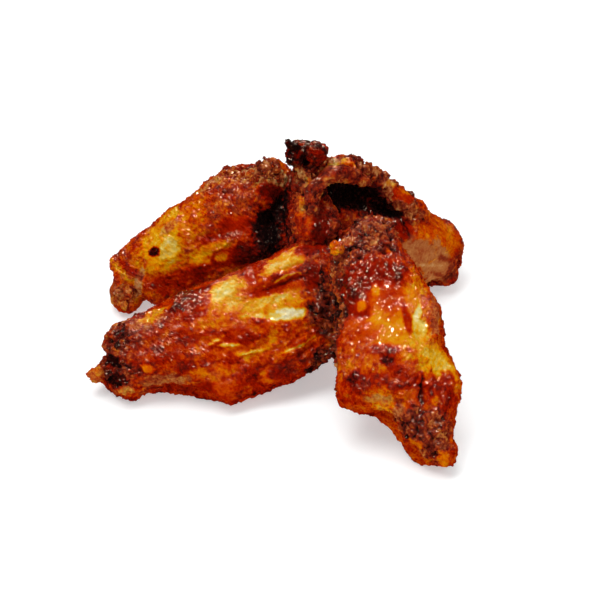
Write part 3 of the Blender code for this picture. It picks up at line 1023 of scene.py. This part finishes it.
BACK_RIGHT = Morsel(
    node="wing_back_right", piece="skin_back_right", slot="glaze_back_right", seed=53,
    spine=((61.6, 49.4, 6.0), (55.4, 46, 16.5), (44, 39, 32), (29, 34, 48), (15, 30, 58.5)),
    facing=((0.2, -0.8, 0.6), (0.1, -0.8, 0.6)),
    upper=(11.5, 15, 16, 15, 11), lower=(11, 11, 11, 12.5, 11), depth=(9, 10, 11, 11, 10),
    floor_round=0.035, raised_round=0.10, base_tone=0.66, base_crust=0.5,
    lumps=swellings(
        (0.74, 92, 13, 8, -8), (0.47, 125, 8, 5, -3), (0.93, 150, 7, 6, 2), (0.88, 86, 10, 6, -6, -12),
        (0.93, 124, 10, 3, 1.6, 12), (0.80, 147, 5, 3, 1.8, -35), (0.62, 120, 8, 3, 1.8, -5),
        (0.64, 97, 5, 2.4, -3, -16), (0.48, 165, 4, 3, 2), (0.60, 146, 4, 2.6, 1.6),
        (0.38, 95, 12, 2, 0.9, -16), (0.82, 185, 9, 8, -2.8), (0.98, 185, 6, 6, -1.5),
        (1, 0, 6, 40, 2.5), (0, 78, 4, 5, 3.2), (0.08, 22, 5, 6, -2.5), (0.07, 50, 5, 7, -2.4),
        (0, 140, 3.5, 4, -1.9), (0.20, 168, 9, 6, 2),
    ),
    patches=(
        Patch(0.94, 123, 12, 5, 12, tone=0.54, crust=0.9),
        Patch(0.89, 145, 9, 4, -24, tone=0.72, crust=1),
        Patch(0.78, 147, 8, 4.4, -35, tone=0.74, crust=1), Patch(0.64, 150, 13, 8, tone=0.78, crust=0.9),
        Patch(0.63, 124, 10, 6, -3, tone=0.64, crust=1),
        Patch(0.33, 116, 11.5, 7, -12, tone=0.46, silk=0.4),
        Patch(0.43, 77, 9, 5.6, -29, tone=0.38, crust=0.15, silk=0.7, dry=1),
        Patch(0.21, 75, 13, 6.5, -7, tone=0.36, crust=0.15, silk=0.7, dry=1),
        Patch(0.30, 88, 9, 0.8, -14, tone=0.56, crust=0.1, soft=0.8),
        Patch(0.34, 70, 8, 0.7, -24, tone=0.24, crust=None, soft=0.8),
        Patch(0.16, 72, 7, 0.8, -10, tone=0.56, crust=0.1, soft=0.8),
        Patch(0.35, 81, 4, 2.6, -7, tone=0.36, crust=0.1),
        Patch(0.56, 85, 5, 3, -80, tone=0.72, crust=0.1),
        # second patch: near black and matte in the hollow under the arch, partly dark glaze and partly
        # painted shade
        Patch(0.11, 92, 8, 3, 31, tone=0.62, crust=0.5), Patch(0.88, 84, 19, 8, -12, tone=1, dry=1),
        # near black and matte in a dent at the hollow's lower edge: partly dark glaze, partly painted
        # shade
        Patch(0.63, 96, 5.5, 2.6, -16, tone=1, crust=0.2, dry=1),
        Patch(0.97, 131, 3.2, 1.6, tone=0.36, crust=0.5), Patch(0.93, 126, 1.9, 1.6, tone=0.40),
        Patch(0.69, 150, 3.2, 1.5, -56, tone=0.30, crust=0.5),
        Patch(0.62, 144, 5, 3, -44, tone=0.66, silk=0.6),
        Patch(0.48, 165, 5.4, 3, -27, tone=0.56, crust=0.3),
        # near black and matte at the hollow's lower edge: partly dark glaze, partly painted shade
        Patch(0.66, 106, 4.2, 2.6, 20, tone=0.98, crust=0.2, dry=0.9),
        Patch(0.61, 160, 4.6, 2, -48, tone=0.46, crust=0.1),
    ),
    sections=290, points=240,
)
CENTRE = Morsel(
    node="wing_centre", piece="skin_centre", slot="glaze_centre", seed=71,
    spine=((8, 24, -1.5), (9, 25, 28), (10, 26, 47), (10, 27, 61.5), (10, 28, 75)),
    facing=((-1.0, -0.3, 0.2), (-1.0, -0.3, 0.2)),
    upper=(10, 14, 14, 8, 7), lower=(10, 14, 14, 7, 7), depth=(7, 8, 7, 5, 6.6),
    floor_round=0.14, raised_round=0.10, base_tone=0.78, base_crust=0.6,
    lumps=swellings(
        (0.50, 178, 8, 8, 3), (0.95, 110, 5, 5, 2), (0.96, 250, 5, 5, 2.5), (0.92, 185, 4, 4, -3),
        (0.95, 170, 3, 3, -2), (0.60, 168, 8, 3, 1.5), (0.50, 225, 12, 6, 3), (0.80, 90, 7, 9, -2),
        (0.82, 275, 7, 9, -2.2), (0.97, 222, 3.4, 4, 0.2), (0.98, 270, 4, 6, -1.6),
        (0.91, 160, 3, 3.2, -3), (0.91, 118, 2.6, 3, 1.4),
    ),
    patches=(
        Patch(0.81, 140, 9, 5, 7, tone=0.72, crust=0.85), Patch(0.55, 155, 9, 7, tone=0.70, crust=0.7),
        Patch(0.55, 156, 7, 5, tone=0.65, crust=0.4),
        Patch(0.64, 150, 4.2, 3.2, 41, tone=0.46, crust=0.4),
        Patch(0.56, 182, 8, 2.8, 13, tone=0.84, silk=0.6),
        Patch(0.76, 166, 5.8, 0.6, -6, tone=0.40, crust=0.6),
        # second patch: black and smooth in the dents near the top, partly dark glaze and partly painted
        # shade
        Patch(0.96, 180, 7, 22, tone=0.82, crust=0.25), Patch(0.93, 163, 4.6, 3.6, tone=1, silk=1),
        # near black and matte down the side that faces left: painted shade
        Patch(0.48, 82, 13, 4.6, tone=0.96, dry=0.9, soft=0.5),
    ),
    sections=280, points=200,
)


def stub(piece: str, slot: str, spine: tuple, radii: tuple, seed: int, tone: float, crust: float = 0.1,
         dry: float = 0.0, relief: float = 0.3) -> Morsel:
    """A small round part of a wing, such as a bone's end.

    Args:
        piece: Its name.
        slot: The finish of the wing that it belongs to.
        spine: Points along its middle.
        radii: Its radius, evenly along the spine.
        seed: Which of many unrelated patterns its relief follows.
        tone: Browning.
        crust: Share of crust.
        dry: Share of dryness.
        relief: Strength of its relief.

    Returns:
        The part, not yet built.
    """
    return Morsel(
        node=None, piece=piece, slot=slot, seed=seed, spine=spine,
        facing=((0.1, -0.8, 0.6), (0.1, -0.8, 0.6)),
        upper=radii, lower=radii, depth=radii, floor_round=0.25, raised_round=0.25, lumps=(),
        patches=(Patch(0.5, 0, 99, 99, crust=None, dry=dry),),
        base_tone=tone, base_crust=crust, relief=relief,
        sections=64, points=48,
    )


STUBS = (
    stub("bone_front_left", "glaze_front_left",
         ((-58.5, -15.4, 9.4), (-62.2, -17.2, 8.6), (-65.4, -18.6, 7.6)),
         (3.2, 2.6, 2.3), 101, 0.40, dry=0.6),
    stub("bone_front_right", "glaze_front_right",
         ((54.6, -54.5, 11.4), (55.2, -57.0, 10.0), (55.6, -58.8, 9.0)),
         (1.5, 1.7, 1.5), 102, 0.40),
    stub("small_bone_front_right", "glaze_front_right",
         ((50.8, -54.4, 7.6), (51.0, -56.8, 6.8), (51.1, -58.4, 6.2)),
         (1.3, 1.5, 1.3), 103, 0.38),
    stub("spur_centre", "glaze_centre",
         ((7.8, 25, 73.6), (5.9, 24, 75.9), (4.3, 23.8, 77.4), (3.0, 23.8, 78.4)),
         (1.6, 1.0, 0.8, 0.9), 104, 0.97, crust=0.3),
    stub("knob_centre", "glaze_centre",
         ((12.6, 24.4, 70.5), (14.0, 24, 74.0), (15.0, 24, 77.2)),
         (3.0, 3.5, 2.8), 108, 0.82, crust=0.3),
    stub("lip_back_right", "glaze_back_right",
         ((33, 28, 58), (26, 25, 63.6), (19, 20.6, 66.8), (13.5, 17.8, 63.5), (12.2, 15, 58.5),
          (13, 13, 53)),
         (2.6, 2.6, 2.7, 2.5, 2.3, 2.2), 105, 0.70, crust=0.7, relief=0.7),
    stub("string_centre", "glaze_centre",
         ((10.6, 22, 67), (11.8, 20.2, 63.2), (11, 18.6, 60), (8.6, 16.6, 57), (10.6, 15.4, 55.4),
          (15, 15.6, 56)),
         (0.5, 0.7, 0.6, 0.8, 0.7, 0.5), 106, 0.30, dry=0.5),
    stub("knuckle_front_right", "glaze_front_right",
         ((20.8, -5, 54), (20.4, -7.4, 55.8), (20, -8.6, 56.8)),
         (1.8, 2.2, 1.9), 107, 0.47, crust=0.3),
)


class Shine(Enum):
    """What a studio light is for."""

    SOFT = "soft"  # lights the food evenly, and is too large to be mirrored as a glint
    SPARKLE = "sparkle"  # only mirrored by wet glaze


@dataclass
class Studio:
    """A pale floor, soft lights and a camera that looks down on the heap."""

    aim: tuple[float, float, float] = (4.6, 0.26, 28.0)
    elevation: float = 38.0  # degrees
    distance: float = 600.0
    lens: float = 102.6  # on a sensor 36 mm wide

    def build(self) -> None:
        """Make the floor, the lights, the surroundings and the camera."""
        self.floor()
        self.light("overhead", (-100, 60, 1300), 700, 7.5, Shine.SOFT)
        self.light("key", (-420, -260, 1000), 400, 3.6, Shine.SOFT)
        self.light("side", (620, -420, 820), 400, 1.4, Shine.SOFT)
        self.light("sparkle_left", (-420, -160, 1000), 130, 9.0, Shine.SPARKLE)
        self.light("sparkle_right", (420, 100, 1000), 120, 7.0, Shine.SPARKLE)
        self.light("sparkle_back", (-160, 760, 800), 130, 6.0, Shine.SPARKLE)
        self.surroundings()
        self.camera()

    def floor(self) -> None:
        """A wide plain floor just under the heap."""
        half, depth = 3.0, -0.2 * MM
        mesh = bpy.data.meshes.new("floor")
        corners = ((-half, -half), (half, -half), (half, half), (-half, half))
        mesh.from_pydata([(x, y, depth) for x, y in corners], [], [(0, 1, 2, 3)])
        floor = bpy.data.objects.new("floor", mesh)
        bpy.context.scene.collection.objects.link(floor)
        material = bpy.data.materials.new("floor_white")
        material.use_nodes = True
        set_sockets(material.node_tree.nodes["Principled BSDF"], {
            "Base Color": (0.77, 0.80, 0.80, 1),
            "Roughness": 0.9,
            "Specular IOR Level": 0.1,
            "Emission Color": (1, 1, 1, 1),
            "Emission Strength": 0.39,
        })
        mesh.materials.append(material)
        floor.visible_glossy = False

    def light(self, name: str, place: tuple[float, float, float], size: float, power: float,
              shine: Shine) -> None:
        """A square soft light that looks at the heap.

        Args:
            name: The light's name.
            place: Where it stands, in millimetres.
            size: Its side, in millimetres.
            power: Watts.
            shine: What the light is for.
        """
        data = bpy.data.lights.new(name, "AREA")
        data.size = size * MM
        data.energy = power
        data.color = (1.0, 0.76, 0.54) if shine is Shine.SPARKLE else (1.0, 1.0, 1.0)
        light = bpy.data.objects.new(name, data)
        light.location = Vector(place) * MM
        light.visible_glossy = shine is Shine.SPARKLE
        light.visible_diffuse = shine is Shine.SOFT
        aim = Vector((0, 0, 0.03)) - light.location
        light.rotation_euler = aim.to_track_quat("-Z", "Y").to_euler()
        bpy.context.scene.collection.objects.link(light)

    def surroundings(self) -> None:
        """An even white surrounding."""
        world = bpy.data.worlds.new("soft_white")
        world.use_nodes = True
        set_sockets(world.node_tree.nodes["Background"], {"Color": (1, 1, 1, 1), "Strength": 0.42})
        world.cycles_visibility.glossy = False
        bpy.context.scene.world = world

    def camera(self) -> None:
        """A camera at the elevation and distance, aimed at the middle of the view."""
        tilt = math.radians(self.elevation)
        aim = Vector(self.aim) * MM
        data = bpy.data.cameras.new("camera")
        data.lens = self.lens
        data.sensor_width = 36.0
        data.clip_start = 0.01
        camera = bpy.data.objects.new("camera", data)
        back = Vector((0, -math.cos(tilt), math.sin(tilt)))
        camera.location = aim + back * self.distance * MM
        camera.rotation_euler = (math.pi / 2 - tilt, 0, 0)
        bpy.context.scene.collection.objects.link(camera)
        bpy.context.scene.camera = camera
        bpy.context.scene.view_settings.view_transform = "Standard"


def main() -> None:
    """Build the studio and the wings, and report each piece."""
    logging.basicConfig(level=logging.INFO, format="%(message)s")
    Studio().build()
    for wing in (FRONT_LEFT, FRONT_RIGHT, BACK_LEFT, BACK_RIGHT, CENTRE):
        glaze = Glaze(wing.slot).material()
        own = [small for small in STUBS if small.slot == wing.slot]
        for made in (wing.build(), Nuggets(wing).build(), *(small.build() for small in own)):
            made.data.materials.append(glaze)
            log.info("%s: %d triangles", made.name, len(made.data.polygons))


if __name__ == "__main__":
    main()
